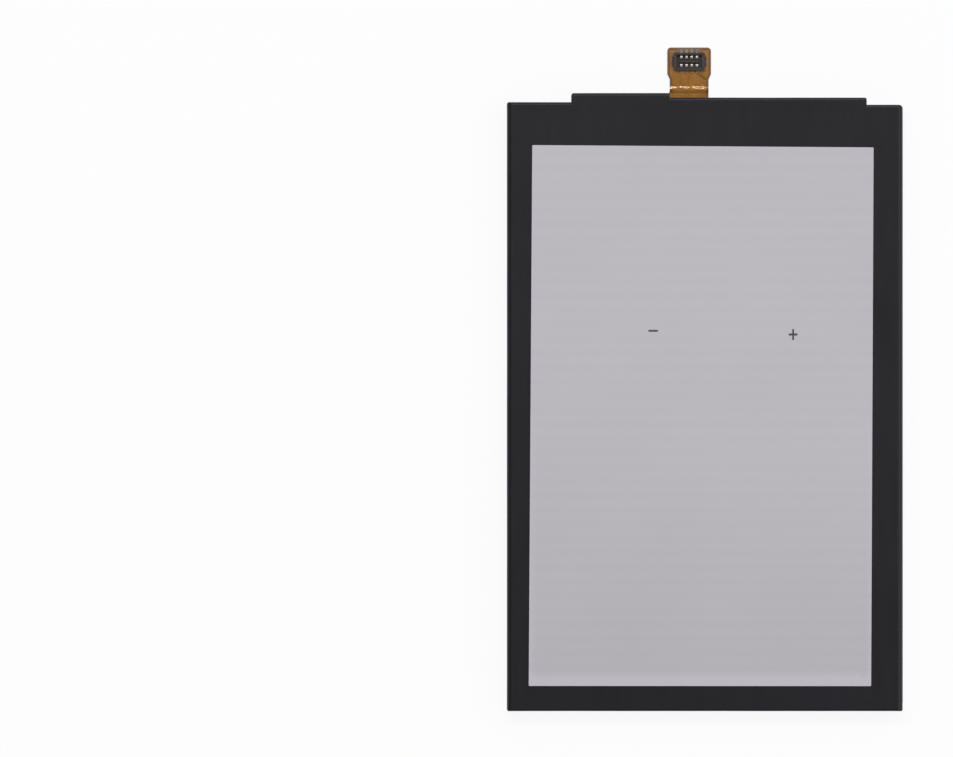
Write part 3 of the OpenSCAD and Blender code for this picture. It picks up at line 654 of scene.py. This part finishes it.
# Solder fillets join the contacts' tails and the hold-downs to gilded pads on the head. A
# fillet is a bead that wets the pad all round the tail, highest where it meets the metal.
# The lower row of joints, next to the bend, is kept from cracking by dabs of amber resin.
solder, nodes_, links_, shader = new_material("solder")
dull = object_noise(nodes_, links_, 6000, 3)
links_.new(ramp_of(nodes_, links_, dull, [(0.3, rgb(120, 111, 109)), (0.75, rgb(154, 145, 143))]),
           shader.inputs["Base Color"])
shader.inputs["Metallic"].default_value = 0.5
shader.inputs["Roughness"].default_value = 0.55
add_bump(nodes_, links_, shader, dull, 0.006 * MM)


def repeat_tree(name, shape_kind, shape_size):
    """Geometry Nodes tree that sets a shape on every point, and its inputs' identifiers."""
    tree = bpy.data.node_groups.new(name, "GeometryNodeTree")
    inputs = {}
    for label, kind in (
            ("Points", "Geometry"), ("Size", "Vector"), ("Least", "Vector"), ("Most", "Vector"),
            ("Seed", "Int"), ("Smooth", "Bool"), ("Material", "Material")):
        socket = tree.interface.new_socket(label, in_out="INPUT", socket_type="NodeSocket" + kind)
        inputs[label] = socket.identifier
    tree.interface.new_socket("Geometry", in_out="OUTPUT", socket_type="NodeSocketGeometry")
    given = tree.nodes.new("NodeGroupInput").outputs
    shape = tree.nodes.new(shape_kind)
    for label, value in shape_size.items():
        shape.inputs[label].default_value = value
    vary = add_node(tree.nodes, "FunctionNodeRandomValue", data_type="FLOAT_VECTOR")
    sized = add_node(tree.nodes, "ShaderNodeVectorMath", operation="MULTIPLY")
    place = tree.nodes.new("GeometryNodeInstanceOnPoints")
    real = tree.nodes.new("GeometryNodeRealizeInstances")
    smooth = tree.nodes.new("GeometryNodeSetShadeSmooth")
    paint = tree.nodes.new("GeometryNodeSetMaterial")
    for source, target in (
            (given["Least"], vary.inputs["Min"]), (given["Most"], vary.inputs["Max"]),
            (given["Seed"], vary.inputs["Seed"]), (given["Size"], sized.inputs[0]),
            (vary.outputs["Value"], sized.inputs[1]), (given["Points"], place.inputs["Points"]),
            (shape.outputs["Mesh"], place.inputs["Instance"]),
            (sized.outputs["Vector"], place.inputs["Scale"]),
            (place.outputs["Instances"], real.inputs["Geometry"]),
            (real.outputs["Geometry"], smooth.inputs["Geometry"]),
            (given["Smooth"], smooth.inputs["Shade Smooth"]),
            (smooth.outputs["Geometry"], paint.inputs["Geometry"]),
            (given["Material"], paint.inputs["Material"]),
            (paint.outputs["Geometry"], tree.nodes.new("NodeGroupOutput").inputs["Geometry"])):
        tree.links.new(source, target)
    return tree, inputs


def repeated(name, tree_and_inputs, points, **values):
    """Plain object of a shape repeated on points by the tree, with its inputs' values."""
    tree, inputs = tree_and_inputs
    seeds = bpy.data.meshes.new(name + "_points")
    seeds.from_pydata(points, [], [])
    carrier = bpy.data.objects.new(name + "_points", seeds)
    scene.collection.objects.link(carrier)
    modifier = carrier.modifiers.new(name, "NODES")
    modifier.node_group = tree
    for label, value in values.items():
        modifier[inputs[label]] = value
    graph = bpy.context.evaluated_depsgraph_get()
    mesh = bpy.data.meshes.new_from_object(carrier.evaluated_get(graph))
    mesh.name = name
    piece = bpy.data.objects.new(name, mesh)
    scene.collection.objects.link(piece)
    bpy.data.objects.remove(carrier)
    return piece


beads = repeat_tree("beads", "GeometryNodeMeshUVSphere", {"Segments": 24, "Rings": 14, "Radius": 0.5})
head_top = plug_low[2]
FROM_TIP = 0.15 * MM
upper_tails, lower_tails = [], []
for number in range(1, 9):
    low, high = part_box("contact_%d" % number)
    middle_x = (low[0] + high[0]) / 2
    if low[1] + high[1] > plug_low[1] + plug_high[1]:
        upper_tails.append((middle_x, high[1] - FROM_TIP, head_top))
    else:
        lower_tails.append((middle_x, low[1] + FROM_TIP, head_top))
contact_fillets = repeated(
    "contact_fillets", beads, upper_tails, Size=(0.46 * MM, 0.52 * MM, 0.26 * MM),
    Least=(0.88, 0.85, 0.8), Most=(1.05, 1.1, 1.1), Seed=7, Smooth=True, Material=solder)
resin, nodes_, links_, shader = new_material("amber_resin")
cured = object_noise(nodes_, links_, 1800, 3)
links_.new(ramp_of(nodes_, links_, cured, [(0.3, rgb(158, 108, 60)), (0.7, rgb(184, 132, 80))]),
           shader.inputs["Base Color"])
shader.inputs["Roughness"].default_value = 0.35
add_bump(nodes_, links_, shader, cured, 0.005 * MM)
resin_dabs = repeated(
    "resin_dabs", beads, lower_tails, Size=(0.58 * MM, 0.66 * MM, 0.34 * MM),
    Least=(0.9, 0.9, 0.95), Most=(1.05, 1.08, 1.05), Seed=5, Smooth=True, Material=resin)
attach(resin_dabs, "root")
feet = []
for side, end in (("left", 0), ("right", 1)):
    low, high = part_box(side + "_hold_down")
    feet.append(((low[0], high[0])[end], (low[1] + high[1]) / 2, head_top))
hold_down_fillets = repeated(
    "hold_down_fillets", beads, feet, Size=(0.2 * MM, 1.5 * MM, 0.12 * MM),
    Least=(0.9, 0.9, 0.9), Most=(1.1, 1.0, 1.1), Seed=3, Smooth=True, Material=solder)
for fillets in (contact_fillets, hold_down_fillets):
    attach(fillets, "root")


# The connector housing is moulded in black liquid crystal polymer, and its spring contacts
# are stamped from copper alloy and gilded. The hold-downs at its ends are tinned brass, and
# the stiffener under the head is a plate of bare steel.
housing_material, nodes_, links_, shader = new_material("black_polymer")
flow = object_noise(nodes_, links_, 3000, 4, (0.3, 1, 1))
links_.new(ramp_of(nodes_, links_, flow, [(0.3, rgb(34, 28, 29)), (0.7, rgb(50, 43, 45))]),
           shader.inputs["Base Color"])
shader.inputs["Roughness"].default_value = 0.45
add_bump(nodes_, links_, shader, flow, 0.004 * MM)

gilt, nodes_, links_, shader = new_material("gilt")
rolled = object_noise(nodes_, links_, 5000, 2)
links_.new(ramp_of(nodes_, links_, rolled, [(0.3, rgb(186, 180, 168)), (0.7, rgb(214, 208, 196))]),
           shader.inputs["Base Color"])
shader.inputs["Metallic"].default_value = 0.85
shader.inputs["Roughness"].default_value = 0.3
add_bump(nodes_, links_, shader, rolled, 0.003 * MM)

tinned_brass, nodes_, links_, shader = new_material("tinned_brass")
# Painted dark reflection and shade: the tinned brass is painted a dark brown-grey, far darker than
# bright tin, for the dark surroundings it mirrors
dark_reflection_grain = object_noise(nodes_, links_, 3500, 3)
links_.new(ramp_of(nodes_, links_, dark_reflection_grain, [(0.3, rgb(70, 58, 50)), (0.7, rgb(94, 80, 70))]),
           shader.inputs["Base Color"])
shader.inputs["Metallic"].default_value = 0.6
shader.inputs["Roughness"].default_value = 0.42
add_bump(nodes_, links_, shader, dark_reflection_grain, 0.003 * MM)

bare_steel, nodes_, links_, shader = new_material("bare_steel")
brushed = object_noise(nodes_, links_, 2500, 3, (1, 0.06, 1))
links_.new(ramp_of(nodes_, links_, brushed, [(0.3, rgb(104, 99, 97)), (0.7, rgb(126, 121, 117))]),
           shader.inputs["Base Color"])
shader.inputs["Metallic"].default_value = 0.6
shader.inputs["Roughness"].default_value = 0.42
add_bump(nodes_, links_, shader, brushed, 0.003 * MM)


def dress(material, *names):
    """Gives CAD nodes a finish of their own."""
    for name in names:
        mesh = nodes[name].data
        mesh.materials.clear()
        mesh.materials.append(material)


dress(housing_material, "connector_housing")
dress(gilt, *["contact_%d" % k for k in range(1, 9)])
dress(bare_steel, "head_stiffener")
dress(tinned_brass, "left_hold_down", "right_hold_down")


# The cell and the board lie sealed inside the wrap. The pouch is a dull aluminium laminate
# round a dark wound roll, its tabs and weld plates are nickel and aluminium, and the board
# is green with moulded chips and small ceramic parts.
def plain_finish(name, tones, scale, stretch=(1, 1, 1), metallic=0.0, roughness=0.5, depth=0.004):
    """Finish with a fine grain between two tones, as deep as depth in millimetres."""
    material, n, l, s = new_material(name)
    grain = object_noise(n, l, scale, 3, stretch)
    dark, light = tones
    l.new(ramp_of(n, l, grain, [(0.3, rgb(*dark)), (0.7, rgb(*light))]), s.inputs["Base Color"])
    s.inputs["Metallic"].default_value = metallic
    s.inputs["Roughness"].default_value = roughness
    add_bump(n, l, s, grain, depth * MM)
    return material


laminate = plain_finish(
    "pouch_laminate", ((176, 177, 180), (206, 207, 210)), 700, metallic=0.8, roughness=0.38)
dress(laminate, "pouch")
wound_foil = plain_finish("wound_foil", ((48, 49, 52), (70, 72, 75)), 400, (1, 0.05, 6))
dress(wound_foil, "electrode_roll")
amber_tape = plain_finish("amber_tape", ((176, 132, 46), (206, 160, 66)), 500, roughness=0.2)
dress(amber_tape, "winding_tape", "foot_tape", "left_seam_tape", "right_seam_tape",
      "negative_weld_tape", "positive_weld_tape")
nickel = plain_finish("nickel", ((176, 173, 166), (202, 199, 191)), 2000, (1, 0.1, 1), 0.9, 0.3)
dress(nickel, "negative_tab", "negative_weld_plate", "positive_weld_plate")
aluminium = plain_finish("aluminium", ((196, 198, 202), (218, 220, 223)), 2000, (1, 0.1, 1), 0.9, 0.35)
dress(aluminium, "positive_tab")
sealing_film = plain_finish("sealing_film", ((214, 208, 190), (232, 228, 214)), 900, roughness=0.35)
dress(sealing_film, "negative_tab_seal", "positive_tab_seal")
foam = plain_finish("closed_cell_foam", ((34, 34, 36), (54, 54, 57)), 5000, roughness=0.9, depth=0.03)
dress(foam, "terrace_foam")
solder_mask = plain_finish("solder_mask", ((22, 74, 48), (32, 98, 64)), 1500, (1, 3, 1), roughness=0.28)
dress(solder_mask, "protection_board")
moulding = plain_finish("moulding_compound", ((34, 34, 36), (50, 50, 52)), 5000, roughness=0.6)
dress(moulding, "protection_chip", "left_transistor", "right_transistor")
ceramic = plain_finish("fired_ceramic", ((150, 116, 78), (186, 150, 104)), 4000, roughness=0.45)
dress(ceramic, "fuse", "thermistor", *["capacitor_%d" % k for k in range(1, 5)])
glaze = plain_finish("resistor_glaze", ((30, 30, 34), (48, 48, 54)), 4000, roughness=0.4)
dress(glaze, *["resistor_%d" % k for k in range(1, 5)])
